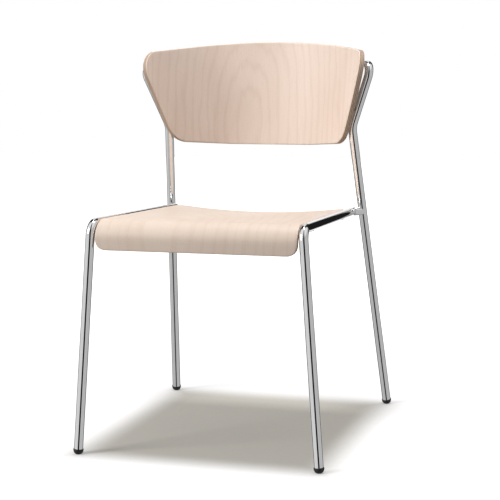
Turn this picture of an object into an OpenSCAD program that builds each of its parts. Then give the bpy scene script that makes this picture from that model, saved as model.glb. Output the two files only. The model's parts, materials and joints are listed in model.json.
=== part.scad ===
// Stacking chair: chromed steel tube frame, moulded plywood seat, wrap-round plywood back.
// Millimetres. The floor is z = 0, the sitter faces -Y, and left and right are as seen
// from the front, so the right-hand side is +X. The origin is midway between the feet.

/* [Frame tube] */
// Outside diameter of the frame tube
tube_d = 18; // [16:0.5:20]
// Wall of the frame tube
tube_wall = 2; // [1.5:0.25:2.5]
// Outside diameter of the cross tube under the front of the seat
cross_d = 16; // [12:1:18]
// Wall of the cross tube
cross_wall = 1.5; // [1:0.25:2]

/* [Stance] */
// Distance between the front feet, axis to axis on the floor
front_feet_w = 488; // [460:1:520]
// Distance between the rear feet, axis to axis on the floor
rear_feet_w = 497; // [470:1:530]
// Distance from the front feet to the rear feet
feet_depth = 566; // [540:1:600]

/* [Side frames] */
// Height of the tube's axis at the front corners
corner_h = 455; // [400:1:520]
// Distance between the front corners, axis to axis
corner_w = 422; // [400:1:440]
// How far each front corner stands behind its foot
corner_setback = 13; // [0:1:30]
// Length of each seat rail, from the front corner back to its rear bend
rail_length = 430; // [410:1:440]
// Distance between the seat rails at their rear bends, axis to axis
rail_rear_w = 396; // [380:1:410]
// How far each rail falls from front to rear
rail_drop = 15; // [0:1:25]
// Bend radius of the front corners, on the axis
corner_r = 24; // [20:1:40]
// Bend radius where a rail turns out to meet the rear tube
rail_bend_r = 26; // [20:1:40]

/* [Rear frame] */
// Forward lean of the rear tubes as they rise, in degrees
rear_lean = 12.7; // [11:0.1:14]
// Height at which the rear tubes turn out beside the back
flare_h = 619; // [600:1:640]
// Height of the hoop behind the back
hoop_h = 748; // [735:1:760]
// Bend radius where the rear tubes turn out
flare_r = 60; // [40:1:90]
// Bend radius at the two upper corners of the hoop
hoop_corner_r = 20; // [18:1:24]

/* [Seat] */
// Thickness of the seat plywood
seat_t = 11; // [9:0.5:14]
// Depth of the seat, from the front corners back to its rear edge
seat_depth = 424; // [400:1:426]
// How far the top of the seat lies below the top of the rails
seat_inset = 2.5; // [0:0.5:4]
// Gap between the seat's side edges and the rails
seat_gap = 0.8; // [0.5:0.1:3]
// How far the front lip stands forward of the front corners
lip_forward = 6; // [0:1:12]
// Outer radius of the lip's roll
lip_r = 38; // [30:1:45]
// Height of the front lip, from the seat's top to its lower edge
lip_h = 58; // [50:1:75]
// Radius of the lip's lower corners
lip_corner_r = 20; // [10:1:30]
// Radius of the seat's rear corners
seat_corner_r = 24; // [10:1:40]
// Cross radius of the dish in the rear of the seat
dish_r = 1490; // [1200:10:2500]
// Fall of the dish towards the rear, in degrees
dish_fall = 2.4; // [1:0.1:3]
// Distance from the front corners to where the dish starts
dish_start = 152; // [120:1:220]

/* [Back] */
// Thickness of the back plywood
back_t = 11; // [9:0.5:13]
// Height at which the back's width and radius are measured
back_mid_h = 690; // [680:1:700]
// Radius of the back's front face at that height
back_face_r = 236.5; // [225:0.5:250]
// How far the centre of that radius stands behind the midpoint of the feet
back_centre_y = 7.3; // [0:0.1:20]
// Half-angle of the cone that the back is part of, in degrees
back_cone = 12.3; // [9:0.1:14]
// Forward lean of the cone's axis, in degrees
back_axis_lean = 8.2; // [6:0.1:10]
// Width of the back at the same height, between its front edges
back_w = 437.6; // [425:0.2:445]
// Height of the back's top edge at the middle
back_top_h = 795.5; // [780:0.5:810]
// Height of the back's lower edge at the middle
back_bottom_h = 574.5; // [560:0.5:590]
// Radius of the crowned top edge, seen from the front
back_top_r = 1450; // [1200:10:3000]
// Radius of the lower edge, seen from the front
back_bottom_r = 2400; // [1500:10:4000]
// Outward slope of the side edges, in degrees from upright
side_slope = 21.5; // [16:0.5:24]
// Radius of the back's upper corners
top_corner_r = 42; // [30:1:80]
// Radius of the back's lower corners
low_corner_r = 57; // [30:1:80]
// Height of the top edge's middle above the side's upper corner
top_corner_drop = 15; // [8:0.5:25]
// Height of the side's lower corner above the bottom edge's middle
low_corner_rise = 8.5; // [4:0.5:15]
// Space between the back and the tubes where they turn out
back_gap_low = 0.8; // [0.5:0.1:3]
// Space between the back and the hoop at its upper corners
back_gap_side = 10; // [8:0.5:12]
// Space between the back and the hoop at the middle
back_gap_rear = 6; // [4:0.5:10]

/* [Fittings] */
// Diameter of the foot caps
foot_d = 19.8; // [18.5:0.1:22]
// Height of a foot cap below the end of its leg
foot_h = 11; // [8:0.5:14]
// Length of a foot cap's plug inside the leg
foot_plug_l = 18; // [10:1:30]
// Thread diameter of the seat screws
seat_screw_d = 6; // [5:1:6]
// Thread diameter of the back screws
back_screw_d = 5; // [4:1:5]
// Depth that the threaded inserts go into the plywood
insert_l = 8; // [6:0.5:8.5]
// Thickness of the rubber pads under the seat
pad_t = 2; // [1:0.5:3]
// Diameter of the rubber pads under the seat
pad_d = 24; // [18:1:28]
// Thickness of the steel that carries the seat
plate_t = 4; // [3:0.5:5]
// Width of the two front tabs and of the rear strap
plate_w = 32; // [28:1:40]
// Distance from the front corners to the front seat screws
front_fix_s = 72; // [66:1:110]
// Distance from the front corners to the rear strap
rear_fix_s = 345; // [300:1:380]
// Distance of each front seat screw from the inside of its rail
front_fix_in = 24; // [20:1:34]
// Distance between the two rear seat screws
rear_fix_w = 220; // [160:2:280]
// Angles of the four back screws round the hoop, measured from the rear
hoop_fix_angles = [-46, -17, 17, 46]; // [-50:1:50]
// Distance from the seat's middle to each stacking buffer
buffer_x = 120; // [80:1:160]

/* [Hidden] */
SEATS = ["front_left", "front_right", "rear_left", "rear_right"];
HOOPS = ["outer_left", "inner_left", "inner_right", "outer_right"];
SIDES = ["left", "right"];
SIGNS = [-1, 1];
function named(stem, ends) = [for (e = ends) str(stem, "_", e)];

tube_fn = 72;      // facets round a tube
bend_fn = 96;      // facets round a full turn of a bend
dish_fn = 360;     // facets round the large radii of the panels and the hoop
bend_swell = 0.3;  // a bent stretch is this much fatter than a straight one
lap = 0.6;         // length that a straight runs into a bend
cope_trim = 3;     // the sharp tips of a coped end stop this far short of the other tube's axis
arc_n = 10;        // steps in an outline's rounded corner
slip = 0.1;        // clearance round a plug or a screw
tube_r = tube_d / 2;
feet_y = feet_depth / 2;

function unit(v) = v / norm(v);
function left_of(p) = [-p.x, p.y, p.z];
function side(p, sign) = [sign * p.x, p.y, p.z];
function arc_pts(c, r, from, to, n) =
    [for (i = [0:n]) c + r * [cos(from + (to - from) * i / n), sin(from + (to - from) * i / n)]];

// ---- Key points of the frame, on the tube axes, right-hand side ----
front_foot = [front_feet_w / 2, -feet_y, 0];
rear_foot = [rear_feet_w / 2, feet_y, 0];
front_corner = [corner_w / 2, corner_setback - feet_y, corner_h];
rail_bend = [rail_rear_w / 2, front_corner.y + rail_length, corner_h - rail_drop];
function rear_tube_y(h) = feet_y - h * tan(rear_lean);

// ---- The back is part of a cone. s runs along its axis, up from back_mid_h ----
cone_tan = tan(back_cone);
function axis_s(y, h) = (h - back_mid_h) * cos(back_axis_lean) - (y - back_centre_y) * sin(back_axis_lean);
function axis_off(y, h) = (y - back_centre_y) * cos(back_axis_lean) + (h - back_mid_h) * sin(back_axis_lean);
function cone_r(s, out) = back_face_r + s * cone_tan + out / cos(back_cone);
// Half-width at which a tube's axis, at depth y and height h, clears the back by gap
function hug_x(y, h, gap) =
    sqrt(pow(cone_r(axis_s(y, h), back_t + tube_r + gap), 2) - pow(axis_off(y, h), 2));
// Horizontal distance from [0, y, h] to the cone, along the direction a degrees from the rear
function reach(y, h, a, out) =
    let (d0 = axis_off(y, h), d1 = cos(a) * cos(back_axis_lean),
         b0 = cone_r(axis_s(y, h), out), b1 = -cos(a) * sin(back_axis_lean) * cone_tan,
         qa = pow(sin(a), 2) + d1 * d1 - b1 * b1, qb = d0 * d1 - b0 * b1, qc = d0 * d0 - b0 * b0)
    (sqrt(qb * qb - qa * qc) - qb) / qa;

flare_y = rear_tube_y(flare_h);
flare = [hug_x(flare_y, flare_h, back_gap_low), flare_y, flare_h];
// Where a rail meets the rear tube, on the straight from the rear foot to the flare
joint_t = (rail_bend.z - 1) / flare_h;
joint = rear_foot + (flare - rear_foot) * joint_t;
rail_end = joint - unit(joint - rail_bend) * cope_trim;

hoop_corner_y = rear_tube_y(hoop_h);
hoop_corner = [hug_x(hoop_corner_y, hoop_h, back_gap_side), hoop_corner_y, hoop_h];
hoop_lead = hoop_corner_r * 1.6;   // straight between an upper corner and the hoop's arc
hoop_rear_y = reach(0, hoop_h, 0, back_t + tube_r + back_gap_rear);
hoop_run = hoop_rear_y - hoop_corner_y;
hoop_r = (pow(hoop_corner.x, 2) + pow(hoop_run, 2) - pow(hoop_lead, 2)) / (2 * hoop_run);
hoop_y = hoop_rear_y - hoop_r;
hoop_half = atan2(hoop_corner.x, hoop_corner_y - hoop_y) - atan(hoop_lead / hoop_r);
hoop_vertex = [hoop_r * tan(hoop_half / 2), hoop_rear_y, hoop_h];

function above_floor(foot, next) = foot + unit(next - foot) * foot_h;
rear_half_path = [above_floor(rear_foot, flare), flare, hoop_corner, hoop_vertex];
rear_path = concat(rear_half_path, [for (i = [3:-1:0]) left_of(rear_half_path[i])]);
rear_radii = [0, flare_r, hoop_corner_r, hoop_r, hoop_r, hoop_corner_r, flare_r, 0];
function side_path(sign) =
    [for (p = [above_floor(front_foot, front_corner), front_corner, rail_bend, rail_end]) side(p, sign)];
side_radii = [0, corner_r, rail_bend_r, 0];

// ---- Seat: its own frame starts at the front corners and follows the rails ----
seat_tilt = atan(rail_drop / rail_length);
seat_top = tube_r - seat_inset;
seat_under = seat_top - seat_t;
function rail_x(s) = corner_w / 2 - (corner_w - rail_rear_w) / 2 * s / rail_length;
function seat_edge(s) = rail_x(s) - tube_r - seat_gap;
plate_top = seat_under - pad_t;
front_fix_x = rail_x(front_fix_s) - tube_r - front_fix_in;
cross_s = lip_r - lip_forward + 4;
cross_h = plate_top - cross_d / 2;

insert_wall = 1.5;
washer_t = 1.6;
head_h = 3.5;
function screw_head_d(d) = d * 2;
function washer_d(d) = d * 2.4;

// ---- Bent tube: straights joined by elbows ----
function turn(a, b, c) = acos(unit(b - a) * unit(c - b));
function setback(a, b, c, r) = r * tan(turn(a, b, c) / 2);
function trim(pts, radii, i) =
    (i == 0 || i == len(pts) - 1) ? 0 : setback(pts[i - 1], pts[i], pts[i + 1], radii[i]);

module straight(p, q, d) {
    v = q - p;
    translate(p)
        rotate([0, acos(v.z / norm(v)), atan2(v.y, v.x)])
            cylinder(d = d, h = norm(v), $fn = tube_fn);
}

module elbow(a, b, c, r, d) {
    u = unit(b - a);
    w = unit(c - b);
    n = unit(w - (w * u) * u);
    k = cross(u, n);
    m = b - u * setback(a, b, c, r) + n * r;
    multmatrix([[-n.x, u.x, k.x, m.x], [-n.y, u.y, k.y, m.y], [-n.z, u.z, k.z, m.z], [0, 0, 0, 1]])
        rotate_extrude(angle = turn(a, b, c), $fn = (r > 100) ? dish_fn : bend_fn)
            translate([r, 0])
                circle(d = d, $fn = tube_fn);
}

module bent_rod(pts, radii, d, over) {
    last = len(pts) - 1;
    for (i = [0:last - 1]) {
        u = unit(pts[i + 1] - pts[i]);
        p = pts[i] + u * (trim(pts, radii, i) - (i == 0 ? over : lap));
        q = pts[i + 1] - u * (trim(pts, radii, i + 1) - (i == last - 1 ? over : lap));
        straight(p, q, d);
    }
    for (i = [1:last - 1])
        elbow(pts[i - 1], pts[i], pts[i + 1], radii[i], d + bend_swell);
}

module bent_tube(pts, radii, d, wall) {
    difference() {
        bent_rod(pts, radii, d, 0);
        bent_rod(pts, radii, d - 2 * wall, 1);
    }
}

// ---- Places ----
module on_seat() {
    translate([0, front_corner.y, corner_h])
        rotate([-seat_tilt, 0, 0])
            children();
}

// Axis of the dish, with y along it and the seat's top dish_r below
module on_dish() {
    translate([0, dish_start, seat_top])
        rotate([-dish_fall, 0, 0])
            translate([0, 0, dish_r])
                children();
}

// Seat screw i: z = 0 is the seat's top surface there, and z points up out of the wood
module at_seat_fix(i) {
    sign = SIGNS[i % 2];
    on_seat()
        if (i < 2)
            translate([sign * front_fix_x, front_fix_s, seat_top])
                children();
        else
            on_dish()
                translate([0, rear_fix_s - dish_start, 0])
                    rotate([0, -sign * asin(rear_fix_w / 2 / dish_r), 0])
                        translate([0, 0, -dish_r])
                            children();
}

// Back screw i: z = 0 is the tube's axis, and z points away from the sitter
module at_hoop_fix(i) {
    translate([0, hoop_y, hoop_h])
        rotate([0, 0, -hoop_fix_angles[i]])
            translate([0, hoop_r, 0])
                rotate([-90, 0, 0])
                    children();
}

function hoop_fix_back(i) = hoop_r - reach(hoop_y, hoop_h, hoop_fix_angles[i], back_t);

// ---- Frame ----
module rear_tube_solid() {
    bent_rod(rear_path, rear_radii, tube_d, 0);
}

module rear_frame() {
    color("silver")
        difference() {
            bent_tube(rear_path, rear_radii, tube_d, tube_wall);
            for (i = [0:3])
                at_hoop_fix(i)
                    cylinder(d = back_screw_d + 4 * slip, h = tube_d + 4, center = true, $fn = 32);
        }
}

module side_frame(sign) {
    color("silver")
        difference() {
            bent_tube(side_path(sign), side_radii, tube_d, tube_wall);
            straight(side(rear_foot, sign), side(flare, sign), tube_d);
        }
}

// Removes the two seat rails, so that what is welded to them ends on their surface
module clear_of_rails() {
    difference() {
        children();
        for (sign = SIGNS)
            straight([sign * rail_x(0), 0, 0], [sign * rail_x(rail_length), rail_length, 0], tube_d);
    }
}

module front_cross_tube() {
    color("silver")
        on_seat()
            clear_of_rails()
                translate([0, cross_s, cross_h])
                    rotate([0, 90, 0])
                        difference() {
                            cylinder(d = cross_d, h = 2 * rail_x(cross_s), center = true, $fn = tube_fn);
                            cylinder(d = cross_d - 2 * cross_wall, h = corner_w, center = true, $fn = tube_fn);
                        }
}

module seat_tab(sign) {
    color("silver")
        on_seat()
            clear_of_rails()
                translate([sign * front_fix_x, front_fix_s, plate_top - plate_t])
                    difference() {
                        union() {
                            cylinder(d = plate_w, h = plate_t, $fn = 64);
                            translate([sign < 0 ? -front_fix_in - tube_r : 0, -plate_w / 2, 0])
                                cube([front_fix_in + tube_r, plate_w, plate_t]);
                        }
                        translate([0, 0, -1])
                            cylinder(d = seat_screw_d + 4 * slip, h = plate_t + 2, $fn = 32);
                    }
}

// All that lies above the dish at radius r, or above height h in the seat's frame
module above_underside(r, h) {
    on_dish()
        rotate([-90, 0, 0])
            cylinder(r = r, h = corner_w * 2, center = true, $fn = dish_fn);
    translate([-corner_w, 0, h])
        cube([2 * corner_w, seat_depth, tube_d * 3]);
}

// The strap follows the panel's underside, pad_t below it: hollow in the middle, flat at the ends
module rear_seat_strap() {
    top_r = dish_r + seat_t + pad_t;
    color("silver")
        difference() {
            on_seat()
                clear_of_rails()
                    intersection() {
                        difference() {
                            above_underside(top_r + plate_t, plate_top - plate_t);
                            above_underside(top_r, plate_top);
                        }
                        translate([-rail_x(rear_fix_s), rear_fix_s - plate_w / 2, -tube_d * 3])
                            cube([2 * rail_x(rear_fix_s), plate_w, tube_d * 3]);
                    }
            for (i = [2, 3])
                at_seat_fix(i)
                    translate([0, 0, -seat_t - pad_t - plate_t - 2])
                        cylinder(d = seat_screw_d + 4 * slip, h = plate_t + 4, $fn = 32);
        }
}

// ---- Seat panel ----
module seat_profile() {
    roll = [lip_r - lip_forward, seat_top - lip_r];
    translate([roll.x, seat_under])
        square([seat_depth - roll.x, seat_t]);
    intersection() {
        difference() {
            translate(roll)
                circle(r = lip_r, $fn = 128);
            translate(roll)
                circle(r = lip_r - seat_t, $fn = 128);
        }
        translate([-lip_forward, roll.y])
            square(lip_r);
    }
    translate([-lip_forward, seat_top - lip_h])
        square([seat_t, lip_h - lip_r]);
}

module seat_plan() {
    w = seat_edge(seat_depth);
    lean = atan((seat_edge(0) - w) / seat_depth);
    c = [w - seat_corner_r, seat_depth - seat_corner_r];
    half = arc_pts(c, seat_corner_r, lean, 90, arc_n);
    front = -lip_forward - 5;
    polygon(concat([[-seat_edge(0), front], [seat_edge(0), front], [seat_edge(0), 0]], half,
        [for (i = [arc_n:-1:0]) [-half[i].x, half[i].y]], [[-seat_edge(0), 0]]));
}

module seat_front_view() {
    w = seat_edge(0) + 1;
    low = seat_top - lip_h;
    c = [w - 1 - lip_corner_r, low + lip_corner_r];
    half = arc_pts(c, lip_corner_r, -90, 0, arc_n);
    polygon(concat([[-w, tube_d], [-w, c.y], [-w + 1, c.y]], [for (i = [arc_n:-1:0]) [-half[i].x, half[i].y]],
        half, [[w, c.y], [w, tube_d]]));
}

module seat_panel() {
    deep = 60;
    color("BurlyWood")
        difference() {
            on_seat()
                intersection() {
                    union() {
                        rotate([90, 0, 90])
                            translate([0, 0, -corner_w / 2])
                                linear_extrude(height = corner_w)
                                    seat_profile();
                        intersection() {
                            on_dish()
                                rotate([-90, 0, 0])
                                    translate([0, 0, -dish_start / 2])
                                        cylinder(r = dish_r + seat_t, h = seat_depth, $fn = dish_fn);
                            translate([-corner_w / 2, dish_start / 2 + 2, seat_top - deep])
                                cube([corner_w, seat_depth, deep - seat_t / 4]);
                        }
                    }
                    translate([0, 0, -2 * lip_h])
                        linear_extrude(height = 3 * lip_h)
                            seat_plan();
                    translate([0, seat_depth + 10, 0])
                        rotate([90, 0, 0])
                            linear_extrude(height = seat_depth + lip_forward + 20)
                                seat_front_view();
                }
            on_seat()
                on_dish()
                    rotate([-90, 0, 0])
                        translate([0, 0, -dish_start / 2])
                            cylinder(r = dish_r, h = seat_depth + 20, $fn = dish_fn);
            for (i = [0:3])
                at_seat_fix(i)
                    translate([0, 0, -seat_t - 1])
                        cylinder(d = seat_screw_d + 2 * insert_wall, h = insert_l + 1, $fn = 32);
        }
}

// ---- Back panel ----
back_root = [0, back_centre_y, back_mid_h];

// Shell of the cone between two distances out from the back's front face
module cone_shell(inner, outer) {
    s0 = -200;
    s1 = 180;
    translate(back_root)
        rotate([back_axis_lean, 0, 0])
            rotate_extrude($fn = dish_fn)
                polygon([[cone_r(s0, inner), s0], [cone_r(s0, outer), s0],
                    [cone_r(s1, outer), s1], [cone_r(s1, inner), s1]]);
}

module back_front_view() {
    over = asin(back_w * 0.6 / back_top_r);
    under = asin(back_w * 0.6 / back_bottom_r);
    polygon(concat(arc_pts([0, back_top_h - back_top_r], back_top_r, 90 - over, 90 + over, 24),
        arc_pts([0, back_bottom_h + back_bottom_r], back_bottom_r, 270 - under, 270 + under, 24)));
}

wing_a = asin(back_w / 2 / back_face_r);   // direction that the side edges are cut along
// Point of the back's front face on its side edge, at back_mid_h
wing_reach = reach(back_centre_y, back_mid_h, wing_a, 0);
wing_root = [wing_reach * sin(wing_a), back_centre_y + wing_reach * cos(wing_a), back_mid_h];

module wing_outline() {
    top_v = back_top_h - back_mid_h - top_corner_drop;
    low_v = back_bottom_h - back_mid_h + low_corner_rise;
    ease = 5;   // slope of the outline where it runs into the top and lower edges
    far = -600;
    function corner_u(v, r) = v * tan(side_slope) - r / cos(side_slope);
    tc = [corner_u(top_v - top_corner_r, top_corner_r), top_v - top_corner_r];
    lc = [corner_u(low_v + low_corner_r, low_corner_r), low_v + low_corner_r];
    top = arc_pts(tc, top_corner_r, -side_slope, 90 - ease, arc_n);
    low = arc_pts(lc, low_corner_r, ease - 90, -side_slope, arc_n);
    polygon(concat([[far, low[0].y + (far - low[0].x) * tan(ease)]], low, top,
        [[far, top[arc_n].y - (far - top[arc_n].x) * tan(ease)]]));
}

module wing_cut() {
    translate(wing_root)
        rotate([90, 0, -wing_a])
            translate([0, 0, -80])
                linear_extrude(height = 600)
                    wing_outline();
}

module back_panel() {
    color("BurlyWood")
        difference() {
            intersection() {
                cone_shell(0, back_t);
                translate([0, back_centre_y + back_face_r + 80, 0])
                    rotate([90, 0, 0])
                        linear_extrude(height = back_face_r + 60)
                            back_front_view();
                wing_cut();
                mirror([1, 0, 0])
                    wing_cut();
            }
            for (i = [0:3])
                at_hoop_fix(i)
                    translate([0, 0, -hoop_fix_back(i) - insert_l])
                        cylinder(d = back_screw_d + 2 * insert_wall, h = insert_l + 5, $fn = 32);
        }
}

// ---- Feet ----
module foot_cap(i) {
    foot = (i < 2) ? front_foot : rear_foot;
    next = (i < 2) ? front_corner : flare;
    v = unit(side(next - foot, SIGNS[i % 2]));
    dome_r = foot_d / 2 + 0.2;
    dome_h = dome_r - 1.2;
    color("#202020")
        intersection() {
            translate(side(foot, SIGNS[i % 2]))
                rotate([0, acos(v.z), atan2(v.y, v.x)]) {
                    intersection() {
                        translate([0, 0, dome_h])
                            sphere(r = dome_r, $fn = 64);
                        translate([0, 0, -foot_h])
                            cylinder(r = dome_r + 1, h = 2 * foot_h, $fn = 64);
                    }
                    translate([0, 0, foot_h - 1])
                        cylinder(d = tube_d - 2 * tube_wall - slip, h = foot_plug_l + 1, $fn = tube_fn);
                }
            translate([-rear_feet_w, -feet_depth, 0])
                cube([2 * rear_feet_w, 2 * feet_depth, 100]);
        }
}

// ---- Seat fittings ----
module seat_pad(i) {
    color("#202020")
        at_seat_fix(i)
            translate([0, 0, -seat_t - pad_t])
                difference() {
                    cylinder(d = pad_d, h = pad_t, $fn = 64);
                    translate([0, 0, -1])
                        cylinder(d = seat_screw_d + 4 * slip, h = pad_t + 2, $fn = 32);
                }
}

module seat_insert(i) {
    color("goldenrod")
        at_seat_fix(i)
            translate([0, 0, -seat_t])
                threaded_insert(seat_screw_d);
}

module threaded_insert(d) {
    difference() {
        cylinder(d = d + 2 * insert_wall, h = insert_l, $fn = 32);
        translate([0, 0, -1])
            cylinder(d = d + slip, h = insert_l + 2, $fn = 32);
    }
}

module seat_washer(i) {
    color("gainsboro")
        at_seat_fix(i)
            translate([0, 0, -seat_t - pad_t - plate_t - washer_t])
                washer(seat_screw_d);
}

module washer(d) {
    difference() {
        cylinder(d = washer_d(d), h = washer_t, $fn = 48);
        translate([0, 0, -1])
            cylinder(d = d + 4 * slip, h = washer_t + 2, $fn = 32);
    }
}

// Pan-head screw: z = 0 is under the head, and the shank points up
module screw(d, l) {
    difference() {
        union() {
            cylinder(d = d, h = l, $fn = 32);
            translate([0, 0, -head_h])
                cylinder(d = screw_head_d(d), h = head_h, $fn = 48);
        }
        translate([0, 0, -head_h - 1])
            cylinder(d = d * 0.8, h = head_h * 0.5 + 1, $fn = 6);
    }
}

module seat_screw(i) {
    grip = pad_t + plate_t + washer_t;
    color("gainsboro")
        at_seat_fix(i)
            translate([0, 0, -seat_t - grip])
                screw(seat_screw_d, grip + insert_l - 0.5);
}

// ---- Back fittings ----
module back_spacer(i) {
    reach_in = hoop_fix_back(i);
    color("#202020")
        difference() {
            at_hoop_fix(i)
                translate([0, 0, -reach_in - back_t / 2])
                    difference() {
                        cylinder(d = tube_d * 0.8, h = reach_in + back_t / 2, $fn = 48);
                        translate([0, 0, -1])
                            cylinder(d = back_screw_d + 4 * slip, h = reach_in + back_t, $fn = 32);
                    }
            rear_tube_solid();
            cone_shell(-back_t, back_t);
        }
}

module back_insert(i) {
    color("goldenrod")
        intersection() {
            at_hoop_fix(i)
                translate([0, 0, -hoop_fix_back(i) - insert_l])
                    difference() {
                        cylinder(d = back_screw_d + 2 * insert_wall, h = insert_l + 5, $fn = 32);
                        translate([0, 0, -1])
                            cylinder(d = back_screw_d + slip, h = insert_l + 7, $fn = 32);
                    }
            cone_shell(0, back_t);
        }
}

module back_washer(i) {
    color("gainsboro")
        difference() {
            at_hoop_fix(i)
                translate([0, 0, tube_r - 2])
                    difference() {
                        cylinder(d = washer_d(back_screw_d), h = 2 + washer_t, $fn = 48);
                        translate([0, 0, -1])
                            cylinder(d = back_screw_d + 4 * slip, h = 4 + washer_t, $fn = 32);
                    }
            rear_tube_solid();
        }
}

module back_screw(i) {
    head_z = tube_r + washer_t;
    color("gainsboro")
        at_hoop_fix(i)
            translate([0, 0, head_z])
                rotate([180, 0, 0])
                    screw(back_screw_d, head_z + hoop_fix_back(i) + insert_l - 0.5);
}

// Rubber button between the back and each rear tube, a little above its turn
module back_buffer(sign) {
    t = 0.3;
    p = side(flare + (hoop_corner - flare) * t, sign);
    color("#202020")
        difference() {
            translate(p)
                rotate([-90, 0, -atan2(p.x, p.y - back_centre_y)])
                    translate([0, 0, -tube_r - back_t])
                        cylinder(d = tube_d * 0.65, h = tube_r + back_t, $fn = 48);
            straight(side(flare, sign), side(hoop_corner, sign), tube_d);
            cone_shell(-back_t, back_t);
        }
}

// Clip on the cross tube that keeps stacked chairs apart
module stacking_buffer(sign) {
    clip_t = 2.5;
    clip_l = 30;
    color("#202020")
        on_seat()
            translate([sign * buffer_x, cross_s, cross_h])
                rotate([0, 90, 0])
                    difference() {
                        cylinder(d = cross_d + 2 * clip_t, h = clip_l, center = true, $fn = 64);
                        cylinder(d = cross_d, h = clip_l + 2, center = true, $fn = tube_fn);
                        translate([-cross_d - cross_d * 0.3, 0, 0])
                            cube([2 * cross_d, 2 * cross_d, clip_l + 2], center = true);
                    }
}

rear_frame();
front_cross_tube();
rear_seat_strap();
seat_panel();
back_panel();
for (i = [0:1]) {
    side_frame(SIGNS[i]);
    seat_tab(SIGNS[i]);
    back_buffer(SIGNS[i]);
    stacking_buffer(SIGNS[i]);
}
for (i = [0:3]) {
    foot_cap(i);
    seat_pad(i);
    seat_insert(i);
    seat_washer(i);
    seat_screw(i);
    back_spacer(i);
    back_insert(i);
    back_washer(i);
    back_screw(i);
}
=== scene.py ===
# %% [markdown]
# # A stacking chair: bent chromed tube and two shells of bleached beech plywood
# The CAD model is loaded first and never moved. Everything made here is built round it, in metres, with
# the floor at z = 0, the sitter facing -Y, and the origin midway between the four feet.

# %% Load the frame
import json
import math
import bpy
import numpy as np
from mathutils import Matrix, Vector

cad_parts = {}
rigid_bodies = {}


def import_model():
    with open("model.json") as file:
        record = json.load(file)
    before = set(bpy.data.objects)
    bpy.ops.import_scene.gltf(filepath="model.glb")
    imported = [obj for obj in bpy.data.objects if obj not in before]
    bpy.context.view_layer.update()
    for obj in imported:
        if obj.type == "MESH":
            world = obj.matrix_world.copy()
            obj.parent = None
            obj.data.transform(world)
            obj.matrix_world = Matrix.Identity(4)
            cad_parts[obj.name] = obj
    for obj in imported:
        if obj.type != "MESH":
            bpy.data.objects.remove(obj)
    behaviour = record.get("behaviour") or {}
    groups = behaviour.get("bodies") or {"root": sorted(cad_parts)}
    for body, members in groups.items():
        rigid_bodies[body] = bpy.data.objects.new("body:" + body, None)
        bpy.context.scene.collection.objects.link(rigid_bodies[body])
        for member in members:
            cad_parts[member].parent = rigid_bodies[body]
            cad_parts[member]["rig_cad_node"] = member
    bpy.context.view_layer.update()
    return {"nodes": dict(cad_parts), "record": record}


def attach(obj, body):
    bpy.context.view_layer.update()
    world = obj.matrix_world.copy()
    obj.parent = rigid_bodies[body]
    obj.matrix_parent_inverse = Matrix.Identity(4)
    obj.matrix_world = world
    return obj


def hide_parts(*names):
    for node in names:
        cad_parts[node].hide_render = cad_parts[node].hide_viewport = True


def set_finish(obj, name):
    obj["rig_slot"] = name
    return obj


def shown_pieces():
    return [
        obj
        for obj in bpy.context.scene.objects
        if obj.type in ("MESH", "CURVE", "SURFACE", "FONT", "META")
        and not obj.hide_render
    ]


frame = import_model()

MM = 0.001

# %% [markdown]
# ## Small helpers for working by hand in code
# An operator acts on whatever is selected, so each step starts with nothing selected.

# %% Selecting and placing
def clear():
    if bpy.context.object and bpy.context.object.mode != "OBJECT":
        bpy.ops.object.mode_set(mode="OBJECT")
    bpy.ops.object.select_all(action="DESELECT")


def settle(name, angle=40):
    """Leave edit mode, put the piece's place into its mesh, and shade it smooth up to an angle."""
    piece = bpy.context.object
    if piece.mode != "OBJECT":
        bpy.ops.object.mode_set(mode="OBJECT")
    clear()
    piece.select_set(True)
    bpy.context.view_layer.objects.active = piece
    bpy.ops.object.transform_apply(location=True, rotation=True, scale=True)
    bpy.ops.object.shade_smooth_by_angle(angle=math.radians(angle))
    piece.name = piece.data.name = name
    return piece


def twin(piece, name):
    """A copy on the other side of the chair, with its own mesh and its faces turned outwards again."""
    other = piece.copy()
    other.data = piece.data.copy()
    other.name = other.data.name = name
    bpy.context.scene.collection.objects.link(other)
    other.data.transform(Matrix.Scale(-1, 4, Vector((1, 0, 0))))
    other.data.flip_normals()
    return other


def describe(piece):
    points = np.array([v.co for v in piece.data.vertices])
    print(piece.name, len(piece.data.polygons), "faces,", (points.max(0) - points.min(0)).round(3), "m")

# %% [markdown]
# ## The bent tubes
# On the real chair each tube is one length of 18 mm steel, bent on a mandrel and then chromed. A curve
# with a bevel would also do, but here a ring is drawn along its path by hand: extruded along each
# straight, and spun about the bend's own centre at each corner. Every ring then stays truly round, which
# mirror chrome needs, because a reflection shows the smallest flat.

# %% The frame's sizes and the points its tubes run through
TUBE_R = 9 * MM
FRONT_FOOT = Vector((244, -283, 0)) * MM
REAR_FOOT = Vector((248.5, 283, 0)) * MM
FRONT_CORNER = Vector((211, -270, 455)) * MM
RAIL_BEND = Vector((198, 160, 440)) * MM
CORNER_R, RAIL_BEND_R, FLARE_R, HOOP_CORNER_R = 24 * MM, 26 * MM, 60 * MM, 20 * MM
FLARE_H, HOOP_H = 619 * MM, 748 * MM
REAR_LEAN = math.radians(12.7)
FOOT_H = 11 * MM
PANEL_T = 11 * MM

# the back's front face is part of this cone
CONE = math.radians(12.3)
CONE_LEAN = math.radians(8.2)
CONE_R = 236.5 * MM
CONE_Y, CONE_H = 7.3 * MM, 690 * MM


def cone_radius(s, out=0.0):
    return CONE_R + s * math.tan(CONE) + out / math.cos(CONE)


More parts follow.
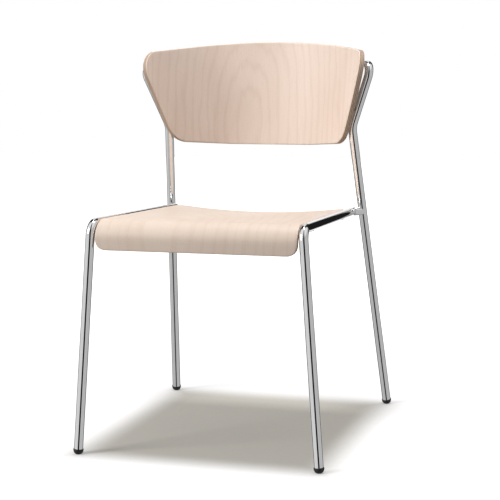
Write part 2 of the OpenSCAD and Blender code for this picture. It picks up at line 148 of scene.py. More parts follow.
def cone_point(a, s, out=0.0):
    """The point at angle a round the cone from the rear, s along its axis, and out from the front face."""
    r = cone_radius(s, out)
    y, z = r * math.cos(a), s
    c, k = math.cos(CONE_LEAN), math.sin(CONE_LEAN)
    return Vector((r * math.sin(a), CONE_Y + y * c - z * k, CONE_H + y * k + z * c))


def on_cone(p):
    """Angle, place along the axis and distance out from the front face, for any point near the back."""
    c, k = math.cos(CONE_LEAN), math.sin(CONE_LEAN)
    y, z = p[1] - CONE_Y, p[2] - CONE_H
    s, off = z * c - y * k, y * c + z * k
    return math.atan2(p[0], off), s, (math.hypot(p[0], off) - cone_radius(s)) * math.cos(CONE)


def tube_x(y, h, gap):
    """Half-width at which a tube at depth y and height h stands clear of the back by a gap."""
    _, s, _ = on_cone((0, y, h))
    off = (y - CONE_Y) * math.cos(CONE_LEAN) + (h - CONE_H) * math.sin(CONE_LEAN)
    return math.sqrt(cone_radius(s, PANEL_T + TUBE_R + gap) ** 2 - off ** 2)


def rear_y(h):
    return REAR_FOOT.y - h * math.tan(REAR_LEAN)


def clear_of_back(h, gap):
    """How far behind the origin a point at height h, straight behind the sitter, clears the back."""
    y = CONE_R
    for _ in range(40):
        _, _, out = on_cone((0, y, h))
        y += gap - out
    return y


FLARE = Vector((tube_x(rear_y(FLARE_H), FLARE_H, 0.8 * MM), rear_y(FLARE_H), FLARE_H))
HOOP_CORNER = Vector((tube_x(rear_y(HOOP_H), HOOP_H, 10 * MM), rear_y(HOOP_H), HOOP_H))
HOOP_REAR = clear_of_back(HOOP_H, PANEL_T + TUBE_R + 6 * MM)
HOOP_LEAD = HOOP_CORNER_R * 1.6
run = HOOP_REAR - HOOP_CORNER.y
HOOP_R = (HOOP_CORNER.x ** 2 + run ** 2 - HOOP_LEAD ** 2) / (2 * run)
HOOP_Y = HOOP_REAR - HOOP_R
HOOP_HALF = math.atan2(HOOP_CORNER.x, HOOP_CORNER.y - HOOP_Y) - math.atan(HOOP_LEAD / HOOP_R)
HOOP_VERTEX = Vector((HOOP_R * math.tan(HOOP_HALF / 2), HOOP_REAR, HOOP_H))
JOINT = REAR_FOOT.lerp(FLARE, (RAIL_BEND.z - MM) / FLARE_H)
print("flare", FLARE, "hoop corner", HOOP_CORNER, "hoop radius", round(HOOP_R, 4))

# %% One bent tube, drawn along its corners
RING = 48          # points round a tube
def mirrored(p):
    return Vector((-p.x, p.y, p.z))


def bend_tube(name, corners, radii, radius=TUBE_R):
    clear()
    start = (corners[1] - corners[0]).normalized()
    bpy.ops.mesh.primitive_circle_add(vertices=RING, radius=radius, fill_type="NGON", location=corners[0],
                                      rotation=start.to_track_quat("Z", "Y").to_euler())
    bpy.ops.object.mode_set(mode="EDIT")
    bpy.ops.mesh.inset(thickness=radius * 0.12)
    bpy.ops.mesh.select_all(action="DESELECT")
    bpy.ops.mesh.select_mode(type="EDGE")
    bpy.ops.mesh.select_non_manifold(extend=False, use_wire=False, use_boundary=True,
                                     use_multi_face=False, use_non_contiguous=False, use_verts=False)
    at = corners[0]
    for before, here, after, r in zip(corners, corners[1:], corners[2:], radii[1:]):
        u, w = (here - before).normalized(), (after - here).normalized()
        turn = u.angle(w)
        back = r * math.tan(turn / 2)
        bend_start = here - u * back
        bpy.ops.mesh.extrude_region_move(TRANSFORM_OT_translate={"value": bend_start - at})
        inward = (w - w.dot(u) * u).normalized()
        bpy.ops.mesh.spin(steps=max(12, int(turn * r / (4 * MM))), angle=-turn,
                          center=bend_start + inward * r, axis=u.cross(inward))
        at = here + w * back
    bpy.ops.mesh.extrude_region_move(TRANSFORM_OT_translate={"value": corners[-1] - at})
    bpy.ops.mesh.edge_face_add()
    bpy.ops.mesh.inset(thickness=radius * 0.12)
    bpy.ops.mesh.select_all(action="SELECT")
    bpy.ops.mesh.remove_doubles(threshold=1e-6)
    bpy.ops.mesh.normals_make_consistent(inside=False)
    tube = settle(name)
    describe(tube)
    return tube

# %% The rear legs and the hoop behind the back are one tube
def above_floor(foot, upper):
    return foot + (upper - foot).normalized() * FOOT_H


half = [above_floor(REAR_FOOT, FLARE), FLARE, HOOP_CORNER, HOOP_VERTEX]
half_radii = [0, FLARE_R, HOOP_CORNER_R, HOOP_R]
rear_tube = bend_tube("rear_tube", half + [mirrored(p) for p in reversed(half)],
                      half_radii + half_radii[::-1])
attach(rear_tube, "root")
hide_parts("rear_frame")
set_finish(rear_tube, "chromed_steel")

# %% Each front leg runs up, back along the seat, and in to its rear leg
rail_end = JOINT - (JOINT - RAIL_BEND).normalized() * MM
side_tube_right = bend_tube("side_tube_right", [above_floor(FRONT_FOOT, FRONT_CORNER), FRONT_CORNER,
                                                RAIL_BEND, rail_end], [0, CORNER_R, RAIL_BEND_R, 0])
side_tube_left = twin(side_tube_right, "side_tube_left")
for tube, node in ((side_tube_right, "side_frame_right"), (side_tube_left, "side_frame_left")):
    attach(tube, "root")
    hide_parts(node)
    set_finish(tube, "chromed_steel")

# %% [markdown]
# ## The foot caps
# Each leg stands on a black moulded cap, nearly a ball, with a small flat where it meets the floor. A
# sphere is cut by the floor and by the end of the tube, and its rims are eased. One front and one rear
# cap are made, and each is mirrored to the other side.

# %% A cap for a leg
CAP_R = 10.1 * MM
CAP_MID = CAP_R - 1.2 * MM
FLOOR_CUT = (0, 0, 0.02 * MM)


def foot_cap(name, foot, upper):
    clear()
    lean = (upper - foot).normalized()
    bpy.ops.mesh.primitive_uv_sphere_add(segments=48, ring_count=32, radius=CAP_R,
                                         location=foot + lean * CAP_MID,
                                         rotation=lean.to_track_quat("Z", "Y").to_euler())
    bpy.ops.object.mode_set(mode="EDIT")
    bpy.ops.mesh.bisect(plane_co=FLOOR_CUT, plane_no=(0, 0, 1), use_fill=True, clear_inner=True)
    bpy.ops.mesh.bevel(offset=0.5 * MM, segments=3)
    bpy.ops.mesh.select_all(action="SELECT")
    bpy.ops.mesh.bisect(plane_co=foot + lean * FOOT_H, plane_no=lean, use_fill=True, clear_outer=True)
    bpy.ops.mesh.bevel(offset=0.6 * MM, segments=3)
    bpy.ops.mesh.select_all(action="SELECT")
    # the bevel dips under the floor, so the floor cuts it once more
    bpy.ops.mesh.bisect(plane_co=FLOOR_CUT, plane_no=(0, 0, 1), use_fill=True, clear_inner=True)
    bpy.ops.mesh.select_all(action="SELECT")
    bpy.ops.mesh.normals_make_consistent(inside=False)
    cap = settle(name, 60)
    describe(cap)
    return cap


for place, foot, upper in (("front", FRONT_FOOT, FRONT_CORNER), ("rear", REAR_FOOT, FLARE)):
    right_cap = foot_cap(f"cap_{place}_right", foot, upper)
    left_cap = twin(right_cap, f"cap_{place}_left")
    for cap, hand in ((right_cap, "right"), (left_cap, "left")):
        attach(cap, "root")
        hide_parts(f"foot_cap_{place}_{hand}")
        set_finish(cap, "black_plastic")

# %% [markdown]
# ## The seat
# The seat is a flat sheet of seven veneers, pressed to shape and then cut. It is made in that order here:
# a grid lies flat at the sheet's cut size, code lays its rows along the press, which rolls the front edge
# down and dishes the rear, and Solidify and Bevel give it its thickness and its sanded edges. Bend and
# shear tools need a window, so the pressing is a move of the grid's points.

# %% How the seat lies on its rails
SEAT_TILT = math.atan(15 / 430)
SEAT_TOP = 6.5 * MM
SEAT_DEPTH, LIP_FORWARD, LIP_R, LIP_H = 424 * MM, 6 * MM, 38 * MM, 58 * MM
LIP_CORNER_R, SEAT_CORNER_R = 20 * MM, 24 * MM
DISH_R, DISH_FALL, DISH_START = 1490 * MM, math.radians(2.4), 152 * MM
ROLL_S, ROLL_H = LIP_R - LIP_FORWARD, SEAT_TOP - LIP_R
LIP_STRAIGHT = LIP_H - LIP_R
LIP_ARC = LIP_R * math.pi / 2
SHEET_LENGTH = LIP_STRAIGHT + LIP_ARC + SEAT_DEPTH - ROLL_S


def seat_edge(s):
    """Half-width of the seat at s behind the front corners."""
    return 201.2 * MM - 13 / 430 * max(s, 0)


def dished(x, s):
    """How far the seat's top falls below flat, with its brim eased."""
    ease = 2 * MM
    d = (s - DISH_START) * math.tan(DISH_FALL) - x * x / (2 * DISH_R)
    if d < -ease:
        return 0.0
    return d if d > ease else (d + ease) ** 2 / (4 * ease)


def from_seat(x, s, h):
    c, k = math.cos(SEAT_TILT), math.sin(SEAT_TILT)
    return Vector((x, FRONT_CORNER.y + s * c + h * k, FRONT_CORNER.z - s * k + h * c))


def to_seat(p):
    c, k = math.cos(SEAT_TILT), math.sin(SEAT_TILT)
    y, z = p[1] - FRONT_CORNER.y, p[2] - FRONT_CORNER.z
    return p[0], y * c - z * k, y * k + z * c


def press_seat(x, q):
    """Where a point x across and q along the flat sheet, from its front edge, goes in the press."""
    if q < LIP_STRAIGHT:
        return from_seat(x, -LIP_FORWARD, ROLL_H - (LIP_STRAIGHT - q))
    if q < LIP_STRAIGHT + LIP_ARC:
        a = (q - LIP_STRAIGHT) / LIP_R
        return from_seat(x, ROLL_S - LIP_R * math.cos(a), ROLL_H + LIP_R * math.sin(a))
    s = ROLL_S + q - LIP_STRAIGHT - LIP_ARC
    return from_seat(x, s, SEAT_TOP - dished(x, s))


def seat_grain(p):
    """Place across, place along, and depth in the sheet, of any point of the pressed seat."""
    x, s, h = to_seat(p)
    if s < ROLL_S and h > ROLL_H:
        a = math.atan2(h - ROLL_H, ROLL_S - s)
        return x, LIP_STRAIGHT + LIP_R * a, LIP_R - math.hypot(h - ROLL_H, ROLL_S - s)
    if s < ROLL_S:
        return x, LIP_STRAIGHT - (ROLL_H - h), s + LIP_FORWARD
    return x, LIP_STRAIGHT + LIP_ARC + s - ROLL_S, SEAT_TOP - dished(x, s) - h

# %% The seat's cut outline, half of it, from the front edge's middle round to the rear edge's middle
def quarter(count=12):
    """Steps round a rounded corner: how far short of square it is, across and along."""
    turns = [math.pi / 2 * i / count for i in range(count + 1)]
    return [(1 - math.sin(t), 1 - math.cos(t)) for t in turns]


def along_profile(q):
    """How far behind the front corners a point q along the flat sheet ends up."""
    if q < LIP_STRAIGHT:
        return -LIP_FORWARD
    if q < LIP_STRAIGHT + LIP_ARC:
        return ROLL_S - LIP_R * math.cos((q - LIP_STRAIGHT) / LIP_R)
    return ROLL_S + q - LIP_STRAIGHT - LIP_ARC


def seat_outline():
    front, rear = seat_edge(0), seat_edge(SEAT_DEPTH)
    points = [(0, 0)]
    points += [(front - LIP_CORNER_R * w, LIP_CORNER_R * i) for w, i in quarter()]
    points += [(seat_edge(along_profile(q)), q)
               for q in np.linspace(LIP_CORNER_R, SHEET_LENGTH - SEAT_CORNER_R, 60)[1:-1]]
    points += [(rear - SEAT_CORNER_R * w, SHEET_LENGTH - SEAT_CORNER_R * i)
               for w, i in reversed(quarter())]
    return points + [(0, SHEET_LENGTH)]

# %% A grid whose border is that outline
def spaced(points, count):
    """count + 1 points, evenly spaced along a line of points."""
    points = np.array(points, float)
    along = np.concatenate([[0], np.cumsum(np.linalg.norm(np.diff(points, axis=0), axis=1))])
    want = np.linspace(0, along[-1], count + 1)
    return np.stack([np.interp(want, along, points[:, i]) for i in (0, 1)], axis=1)


def flat_grid(half_outline, across, along):
    """Flat places of a grid's points, so that its corners sit in the middle of the sheet's rounded ones."""
    half = np.array(half_outline, float)
    low = int(np.argmax(half[:, 0] - half[:, 1]))
    high = int(np.argmax(half[:, 0] + half[:, 1]))
    flip = np.array([-1, 1])
    low_half, high_half = spaced(half[:low + 1], across // 2), spaced(half[high:], across // 2)[::-1]
    front = np.concatenate([(low_half * flip)[::-1], low_half[1:]])
    rear = np.concatenate([(high_half * flip)[::-1], high_half[1:]])
    side = spaced(half[low:high + 1], along)
    u, v = np.linspace(0, 1, across + 1)[:, None, None], np.linspace(0, 1, along + 1)[None, :, None]
    ruled = (1 - v) * front[:, None] + v * rear[:, None] + (1 - u) * (side * flip)[None] + u * side[None]
    corners = ((1 - u) * (1 - v) * front[0] + u * (1 - v) * front[-1]
               + (1 - u) * v * rear[0] + u * v * rear[-1])
    return ruled - corners

# %% A sheet of plywood from a flat grid
def plywood(name, half_outline, press, outward, grain, across=64, along=72):
    """press puts a flat point in place, and grain measures where a pressed point lies in the sheet."""
    clear()
    flat = flat_grid(half_outline, across, along)
    bpy.ops.mesh.primitive_grid_add(x_subdivisions=across, y_subdivisions=along, size=2)
    sheet = bpy.context.object
    for v in sheet.data.vertices:
        i, j = round((v.co.x + 1) / 2 * across), round((v.co.y + 1) / 2 * along)
        v.co = press(*flat[i, j])
    bpy.ops.object.mode_set(mode="EDIT")
    bpy.ops.mesh.select_all(action="SELECT")
    bpy.ops.mesh.normals_make_consistent(inside=False)
    bpy.ops.object.mode_set(mode="OBJECT")
    middle = sheet.data.polygons[len(sheet.data.polygons) // 2 + across // 2]
    if middle.normal.dot(outward) < 0:
        sheet.data.flip_normals()
    thick = sheet.modifiers.new("thickness", "SOLIDIFY")
    thick.thickness = PANEL_T
    thick.offset = -1
    thick.use_even_offset = False
    bpy.ops.object.modifier_apply(modifier="thickness")
    sanded = sheet.modifiers.new("sanded", "BEVEL")
    sanded.width = 1.6 * MM
    sanded.segments = 4
    sanded.limit_method = "ANGLE"
    sanded.angle_limit = math.radians(60)
    sanded.use_clamp_overlap = False
    bpy.ops.object.modifier_apply(modifier="sanded")
    sheet = settle(name, 50)
    measured = sheet.data.attributes.new("sheet", "FLOAT_VECTOR", "POINT")
    measured.data.foreach_set("vector", [c for v in sheet.data.vertices for c in grain(v.co)])
    describe(sheet)
    return sheet

# %% Press the seat
seat = plywood("seat_shell", seat_outline(), press_seat, Vector((0, 0, 1)), seat_grain)
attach(seat, "root")
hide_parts("seat_panel")
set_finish(seat, "seat_plywood")

# %% [markdown]
# ## The back
# The back wraps round the sitter as part of a cone that leans back, so its sides reach forward and open
# upwards. Its outline is cut from four curves with rounded corners. The rows of the grid run from side to
# side and end on that outline.

# %% The back's outline
BACK_TOP_H, BACK_LOW_H = 795.5 * MM, 574.5 * MM
TOP_EDGE_R, LOW_EDGE_R = 1450 * MM, 2400 * MM
SIDE_SLOPE = math.radians(21.5)
TOP_CORNER_R, LOW_CORNER_R = 42 * MM, 57 * MM
EASE = math.radians(5)
WING_A = math.asin(437.6 / 2 / 236.5)


def wing_root():
    out = CONE_R
    for _ in range(40):
        p = (out * math.sin(WING_A), CONE_Y + out * math.cos(WING_A), CONE_H)
        out -= on_cone(p)[2]
    return Vector((out * math.sin(WING_A), CONE_Y + out * math.cos(WING_A), CONE_H))


WING = wing_root()
WING_ACROSS = Vector((math.cos(WING_A), -math.sin(WING_A), 0))


def edge_heights(x):
    top = BACK_TOP_H - TOP_EDGE_R + math.sqrt(TOP_EDGE_R ** 2 - x * x)
    low = BACK_LOW_H + LOW_EDGE_R - math.sqrt(LOW_EDGE_R ** 2 - x * x)
    return low, top


def back_point(a, f):
    """The front face's point at angle a, a share f of the way up from the lower edge to the top one."""
    s = 0.0
    for _ in range(12):
        p = cone_point(a, s)
        low, top = edge_heights(p.x)
        s += (low + (top - low) * f - p.z) / math.cos(CONE_LEAN)
    return cone_point(a, s)


def side_limit(v):
    """How far out the side edge is at height v above the middle, along the wing."""
    slope, lean = math.tan(SIDE_SLOPE), math.cos(SIDE_SLOPE)
    top_v, low_v = BACK_TOP_H - CONE_H - 15 * MM, BACK_LOW_H - CONE_H + 8.5 * MM
    top_c = ((top_v - TOP_CORNER_R) * slope - TOP_CORNER_R / lean, top_v - TOP_CORNER_R)
    low_c = ((low_v + LOW_CORNER_R) * slope - LOW_CORNER_R / lean, low_v + LOW_CORNER_R)
    top_meet = top_c[1] - TOP_CORNER_R * math.sin(SIDE_SLOPE)
    low_meet = low_c[1] - LOW_CORNER_R * math.sin(SIDE_SLOPE)
    if v > top_meet:
        rise = min(v - top_c[1], TOP_CORNER_R * math.cos(EASE))
        beyond = v - top_c[1] - rise
        return top_c[0] + math.sqrt(TOP_CORNER_R ** 2 - rise ** 2) - beyond / math.tan(EASE)
    if v < low_meet:
        fall = min(low_c[1] - v, LOW_CORNER_R * math.cos(EASE))
        beyond = low_c[1] - v - fall
        return low_c[0] + math.sqrt(LOW_CORNER_R ** 2 - fall ** 2) - beyond / math.tan(EASE)
    return v * slope


def row_end(f):
    """The angle at which the row a share f up meets the side edge."""
    inside, beyond = 0.3, 1.5
    for _ in range(36):
        a = (inside + beyond) / 2
        p = back_point(a, f) - WING
        if p.dot(WING_ACROSS) < side_limit(p.z):
            inside = a
        else:
            beyond = a
    return inside


def press_back(x, s):
    return cone_point(x / CONE_R, s)


def back_outline():
    """Half the flat outline, from the lower edge's middle out round the side to the upper edge's."""
    low_end, high_end = row_end(0), row_end(1)
    shares = (1 - np.cos(np.linspace(0, math.pi, 70))) / 2
    marks = [(a, 0) for a in np.linspace(0, low_end, 30)]
    marks += [(row_end(f), f) for f in shares[1:-1]]
    marks += [(a, 1) for a in np.linspace(high_end, 0, 30)]
    return [(a * CONE_R, on_cone(back_point(a, f))[1]) for a, f in marks]


def back_grain(p):
    a, s, out = on_cone(p)
    return a * cone_radius(s), s / math.cos(CONE), out

# %% Press the back
back = plywood("back_shell", back_outline(), press_back, Vector((0, -1, 0)), back_grain, 80, 44)
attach(back, "root")
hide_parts("back_panel")
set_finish(back, "back_plywood")

# %% [markdown]
# ## Shader maths written as sums
# A material is a graph of nodes. This small class lets the graph be written as ordinary arithmetic: each
# operator adds a Math node. Any other node comes from one method, `node`.

# %% Sockets that can be added and multiplied
class Value:
    def __init__(self, finish, socket):
        self.finish, self.socket = finish, socket

    def math(self, operation, *others):
        sockets = dict(enumerate((self, *others)))
        return self.finish.node("ShaderNodeMath", {"operation": operation}, sockets)

    def __add__(self, other):
        return self.math("ADD", other)

    def __mul__(self, other):
        return self.math("MULTIPLY", other)

    def __sub__(self, other):
        return self.math("SUBTRACT", other)

    def __truediv__(self, other):
        return self.math("DIVIDE", other)

    def __rsub__(self, other):
        return self * -1 + other

    __radd__, __rmul__ = __add__, __mul__

    def step(self, low, high):
        """0 below low and 1 above high, with a smooth change between them."""
        settings = {"interpolation_type": "SMOOTHSTEP"}
        return self.finish.node("ShaderNodeMapRange", settings, {0: self, 1: low, 2: high, 3: 0.0, 4: 1.0})


class Graph:
    """A tree of nodes that is written as expressions."""
    def __init__(self, tree):
        self.tree = tree

    def node(self, kind, settings=None, sockets=None, output=0):
        node = self.tree.nodes.new(kind)
        for name, value in (settings or {}).items():
            if name == "stops":
                for stop, (place, colour) in zip(list(node.color_ramp.elements), value):
                    stop.position, stop.color = place, colour
                for place, colour in value[2:]:
                    node.color_ramp.elements.new(place).color = colour
            else:
                setattr(node, name, value)
        for name, value in (sockets or {}).items():
            if isinstance(value, Value):
                self.tree.links.new(value.socket, node.inputs[name])
            else:
                node.inputs[name].default_value = value
        return Value(self, node.outputs[output])

    def mix(self, share, under, over):
        return self.node("ShaderNodeMix", {"data_type": "RGBA"}, {0: share, 6: under, 7: over}, 2)

    def split(self, vector):
        parts = self.tree.nodes.new("ShaderNodeSeparateXYZ")
        self.tree.links.new(vector.socket, parts.inputs[0])
        return [Value(self, parts.outputs[i]) for i in range(3)]

    def join(self, x, y, z):
        return self.node("ShaderNodeCombineXYZ", None, {0: x, 1: y, 2: z})

    def noise(self, place, scale=1.0, detail=3.0, roughness=0.5):
        return self.node("ShaderNodeTexNoise", None, {"Vector": place, "Scale": scale, "Detail": detail,
                                                      "Roughness": roughness})

    def bump(self, height, distance, strength=1.0):
        return self.node("ShaderNodeBump", None, {"Height": height, "Distance": distance,
                                                  "Strength": strength})

    def here(self):
        return self.node("ShaderNodeTexCoord", None, None, 3)


class Finish(Graph):
    """A material with a Principled shader, whose sockets are set by name."""
    def __init__(self, name, **constants):
        self.material = bpy.data.materials.new(name)
        self.material.use_nodes = True
        super().__init__(self.material.node_tree)
        self.shader = self.tree.nodes["Principled BSDF"]
        for socket, value in constants.items():
            self.shader.inputs[socket.replace("_", " ")].default_value = value
        print("finish", name)

    def set(self, socket, value):
        self.tree.links.new(value.socket, self.shader.inputs[socket])

# %% [markdown]
# ## Bleached beech plywood
# The faces are plain-sliced beech, bleached and matt lacquered: a pale pinkish cream, with faint growth
# rings that run up the sheet and nest into tall arches where the knife left the heart, fine pores, and
# the short dark flecks that mark beech. The edges show the plies, long grain and end grain in turn. Both
# come from one attribute that every point carries: place across, place along, and depth in the sheet.

# %% The wood's finish
def shade(r, g, b):
    return (r, g, b, 1.0)


def beech(name, heart_x, heart_y, light, dark, ring_gap):
    wood = Finish(name, Roughness=0.5, IOR=1.46, Coat_Weight=0.12, Coat_Roughness=0.35)
    sheet = wood.node("ShaderNodeAttribute", {"attribute_name": "sheet"}, None, 1)
    x, y, depth = wood.split(sheet)
    # growth rings: a log that tapers, cut by the face
    drift = wood.noise(wood.join(x * 9, y * 3.2, 0.0), 1.0, 2.0) - 0.5
    taper = (y - heart_y) * 0.42
    from_heart = x - heart_x + drift * 0.05
    ring = (from_heart * from_heart + taper * taper + 0.0009).math("SQRT") + depth * 0.4
    wobble = wood.noise(wood.join(x * 60, y * 7, depth * 40), 1.0, 3.0) - 0.5
    wave = ((ring / ring_gap + wobble * 1.1) * (2 * math.pi)).math("SINE") * 0.5 + 0.5
    late = wave.math("POWER", 4.0)
    cloud = wood.noise(wood.join(x * 7, y * 2.2, 3.0), 1.0, 2.0)
    fibre = wood.noise(wood.join(x * 900, y * 26, depth * 300), 1.0, 2.0)
    fleck = wood.noise(wood.join(x * 1500, y * 190, depth * 200), 1.0, 1.0, 0.3).step(0.66, 0.74)
    tone = late * 0.11 + (cloud - 0.5) * 0.7 + (fibre - 0.5) * 0.3 + 0.3
    face = wood.mix(tone.step(0.0, 1.0), shade(*light), shade(*dark))
    face = wood.mix(fleck * 0.35, face, shade(dark[0] * 0.72, dark[1] * 0.66, dark[2] * 0.6))
    # the plies, from the depth alone
    ply = PANEL_T / 7
    layer = (depth / ply).math("FLOOR")
    turned = (layer * 0.5).math("FRACT") * 2
    in_layer = (depth / ply).math("FRACT")
    glue = 1 - in_layer.step(0.02, 0.1) * (1 - in_layer.step(0.9, 0.98))
    grit = wood.noise(wood.join(x * 700, y * 700, depth * 900), 1.0, 3.0)
    long_grain = wood.mix(grit, shade(0.70, 0.55, 0.42), shade(0.56, 0.41, 0.30))
    end_grain = wood.mix(grit, shade(0.43, 0.29, 0.20), shade(0.30, 0.19, 0.125))
    edge = wood.mix(turned, long_grain, end_grain)
    edge = wood.mix(glue * 0.45, edge, shade(0.25, 0.15, 0.09))
    inner = (depth - PANEL_T / 2).math("ABSOLUTE")
    skin = inner.step(PANEL_T / 2 - ply - 0.1 * MM, PANEL_T / 2 - ply + 0.1 * MM)
    wood.set("Base Color", wood.mix(skin, edge, face))
    wood.set("Roughness", 0.62 - skin * 0.16 + fibre * 0.08 + fleck * 0.05)
    relief = fibre * 0.6 - fleck * 0.8 + late * 0.25 - glue * (1 - skin) * 2
    wood.set("Normal", wood.bump(relief, 0.05 * MM, 0.6))
    return wood.material


DARK_RINGS = (0.60, 0.445, 0.345)
seat.data.materials.append(beech("seat_beech", -0.07, 0.05, (0.80, 0.665, 0.56), DARK_RINGS, 0.021))
# painted light: the back is the same beech as the seat, made paler to stand in for the brighter light that
# falls on it
back.data.materials.append(beech("back_beech_painted_paler", -0.05, -0.1, (0.87, 0.725, 0.63), DARK_RINGS, 0.019))

# %% [markdown]
# ## Chrome, plastic, rubber, zinc and brass
# Chrome has no colour of its own, and shows the room. Its detail is in how smooth it is: a faint ripple
# left by polishing before plating, and a little more haze where hands and floors wear it.

# %% Chrome
def chrome():
    steel = Finish("polished_chrome", Metallic=1.0, IOR=2.5)
    here = steel.here()
    ripple = steel.noise(here, 55.0, 2.0)
    smear = steel.noise(here, 260.0, 3.0)
    steel.set("Base Color", steel.mix(ripple, shade(0.82, 0.82, 0.83), shade(0.90, 0.90, 0.905)))
    steel.set("Roughness", smear.step(0.4, 0.9) * 0.05 + 0.035)
    steel.set("Normal", steel.bump(ripple, 0.05 * MM, 0.06))
    return steel.material


CHROME = chrome()

# %% The small parts
def moulded(name, light, dark, roughness, grain):
    skin = Finish(name, IOR=1.5, Specular_IOR_Level=0.45)
    here = skin.here()
    mottle = skin.noise(here, 380.0, 2.0)
    texture = skin.noise(here, grain, 2.0)
    skin.set("Base Color", skin.mix(mottle, shade(*dark), shade(*light)))
    skin.set("Roughness", texture * 0.15 + roughness)
    skin.set("Normal", skin.bump(texture, 0.03 * MM, 0.5))
    return skin.material


def plated(name, light, dark, roughness):
    metal = Finish(name, Metallic=1.0)
    here = metal.here()
    cloud = metal.noise(here, 420.0, 3.0)
    turned = metal.noise(here, 2600.0, 2.0)
    metal.set("Base Color", metal.mix(cloud, shade(*dark), shade(*light)))
    metal.set("Roughness", cloud * 0.2 + roughness)
    metal.set("Normal", metal.bump(turned, 0.01 * MM, 0.4))
    return metal.material


PLASTIC = moulded("black_moulded_plastic", (0.022, 0.022, 0.023), (0.012, 0.012, 0.013), 0.34, 1800.0)
RUBBER = moulded("black_rubber_bump", (0.034, 0.033, 0.032), (0.020, 0.020, 0.020), 0.62, 2400.0)
ZINC = plated("zinc_plate", (0.66, 0.67, 0.68), (0.50, 0.51, 0.53), 0.22)
BRASS = plated("turned_brass", (0.80, 0.62, 0.30), (0.66, 0.48, 0.20), 0.24)
by_slot = {"chromed_steel": CHROME, "black_plastic": PLASTIC, "black_rubber": RUBBER,
           "zinc_steel": ZINC, "brass_insert": BRASS}

# %% Give every piece its finish
slot_of = {part["node"]: part["material_slot"] for part in frame["record"]["subparts"]}
for name, node in frame["nodes"].items():
    if slot_of[name] in by_slot:
        node.data.materials.clear()
        node.data.materials.append(by_slot[slot_of[name]])
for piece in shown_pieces():
    if "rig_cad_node" not in piece and not piece.data.materials:
        piece.data.materials.append(by_slot[piece["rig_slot"]])

# %% [markdown]
# ## The studio
# A white floor under one soft light overhead, with a broader one from the left. The floor glows a little
# all round, except between the four feet, where the glow is left out: a painted shadow that deepens the
# real one there. Chrome shows whatever is round it, so the room is painted by direction on the world:
# dark where the camera stands, dark again at both sides of the white backdrop, and pale elsewhere. Only
# reflections see that room. The camera sees plain white, and matt surfaces see a soft sky.

# %% The camera, at eye height of someone seated, a little to the sitter's left
AZIMUTH, PITCH, ROLL = math.radians(17.626), math.radians(7.904), math.radians(-0.547)
EYE = Vector((0.9398, -2.8854, 0.7941))
ahead = Vector((-math.sin(AZIMUTH) * math.cos(PITCH), math.cos(AZIMUTH) * math.cos(PITCH),
                -math.sin(PITCH)))
level = Vector((math.cos(AZIMUTH), math.sin(AZIMUTH), 0))
upright = level.cross(ahead)
right = math.cos(ROLL) * level + math.sin(ROLL) * upright
up = math.cos(ROLL) * upright - math.sin(ROLL) * level
camera = bpy.data.objects.new("camera", bpy.data.cameras.new("camera"))
bpy.context.scene.collection.objects.link(camera)
camera.matrix_world = Matrix((right, up, -ahead)).transposed().to_4x4()
camera.location = EYE
camera.data.sensor_width = 36
camera.data.lens = 36 * 1490.9 / 500
camera.data.clip_end = 60
bpy.context.scene.camera = camera
bpy.context.scene.view_settings.view_transform = "Standard"

# %% Floor
FLOOR_SIZE = 14
clear()
bpy.ops.mesh.primitive_plane_add(size=FLOOR_SIZE, location=(0, 0, 0))
floor = settle("studio_floor")
paper = Finish("white_paper", Roughness=0.9, Emission_Strength=1.0)
place = paper.here()
x, y, _ = paper.split(place)
tooth = paper.noise(place, 90.0, 2.0)
paper.set("Base Color", paper.mix(tooth, shade(0.60, 0.575, 0.52), shade(0.64, 0.61, 0.55)))
from_chair = (x * x + y * y).math("SQRT")
foot_mid = (FRONT_FOOT.y + REAR_FOOT.y) / 2
aside = x.math("ABSOLUTE") - (FRONT_FOOT.x + REAR_FOOT.x) / 2
fore = (y - foot_mid).math("ABSOLUTE") - (REAR_FOOT.y - FRONT_FOOT.y) / 2
SHADE_EDGE = 0.05
# painted shadow: between the four feet the floor's glow is left out, so the floor is darker there than the
# lamps alone make it
outside_painted_shadow = aside.math("MAXIMUM", fore).step(-SHADE_EDGE, SHADE_EDGE)
near_glow_and_painted_shadow = paper.mix(outside_painted_shadow, shade(0, 0, 0), shade(0.55, 0.56, 0.60))
paper.set("Emission Color", paper.mix(from_chair.step(0.7, 1.5), near_glow_and_painted_shadow, shade(1, 1, 1)))
floor.data.materials.append(paper.material)
floor.visible_glossy = floor.visible_diffuse = False

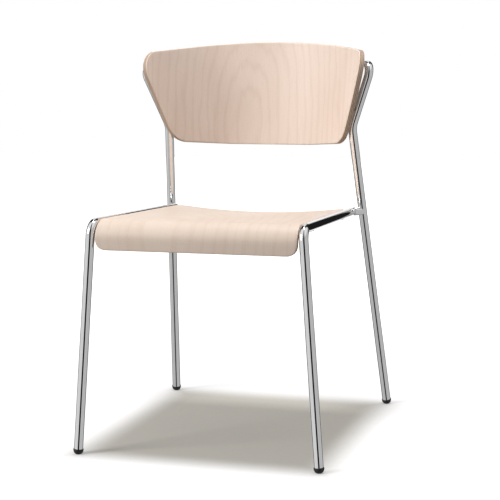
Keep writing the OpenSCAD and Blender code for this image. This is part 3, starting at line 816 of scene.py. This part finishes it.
# %% Lights
def soft_light(name, place, aim, width, height, power, colour=(1, 1, 1)):
    lamp = bpy.data.lights.new(name, "AREA")
    lamp.shape, lamp.size, lamp.size_y, lamp.energy, lamp.color = "RECTANGLE", width, height, power, colour
    lamp_object = bpy.data.objects.new(name, lamp)
    bpy.context.scene.collection.objects.link(lamp_object)
    lamp_object.location = place
    lamp_object.rotation_euler = (Vector(aim) - Vector(place)).to_track_quat("-Z", "Y").to_euler()
    print("light", name, power, "W")
    return lamp_object


soft_light("overhead", (0.05, -0.03, 2.3), (0.05, -0.03, 0), 0.35, 0.35, 17)
soft_light("left_fill", (-2.4, -2.2, 1.7), (0, 0, 0.6), 1.2, 1.6, 64)

# %% The room, painted by direction
world = bpy.data.worlds.new("studio")
bpy.context.scene.world = world
world.use_nodes = True
room = Graph(world.node_tree)
dx, dy, dz = room.split(room.node("ShaderNodeTexCoord", None, None, 0))
toward = dx * math.sin(AZIMUTH) - dy * math.cos(AZIMUTH)
beside = dx * math.cos(AZIMUTH) + dy * math.sin(AZIMUTH)
bearing = beside.math("ARCTAN2", toward) * (180 / math.pi)
off_axis = bearing.math("ABSOLUTE")
behind_camera = 1 - off_axis.step(17, 21)
flanks = off_axis.step(120, 128) * (1 - off_axis.step(160, 166))
backdrop = off_axis.step(160, 166)
walls = 0.7 - bearing.step(-40, 60) * 0.2
walls = walls * (1 - behind_camera) * (1 - flanks) * (1 - backdrop) + backdrop * 0.95 + 0.012
ceiling, ground = dz.step(0.45, 0.7), (dz * -1).step(0.28, 0.45)
bands = 1 - (behind_camera + flanks) * 0.95
shown = walls * (1 - ceiling) * (1 - ground) + ceiling * 0.85 * bands + ground * 0.5 * bands
sky = dz.step(-0.3, 0.6) * 0.42 + 0.16
light_path = room.tree.nodes.new("ShaderNodeLightPath")
seen_by_camera = Value(room, light_path.outputs["Is Camera Ray"])
seen_in_gloss = Value(room, light_path.outputs["Is Glossy Ray"])
strength = sky * (1 - seen_in_gloss) * (1 - seen_by_camera) + shown * seen_in_gloss + seen_by_camera
background = room.tree.nodes["Background"]
room.tree.links.new(strength.socket, background.inputs["Strength"])
background.inputs["Color"].default_value = (1, 1, 1, 1)
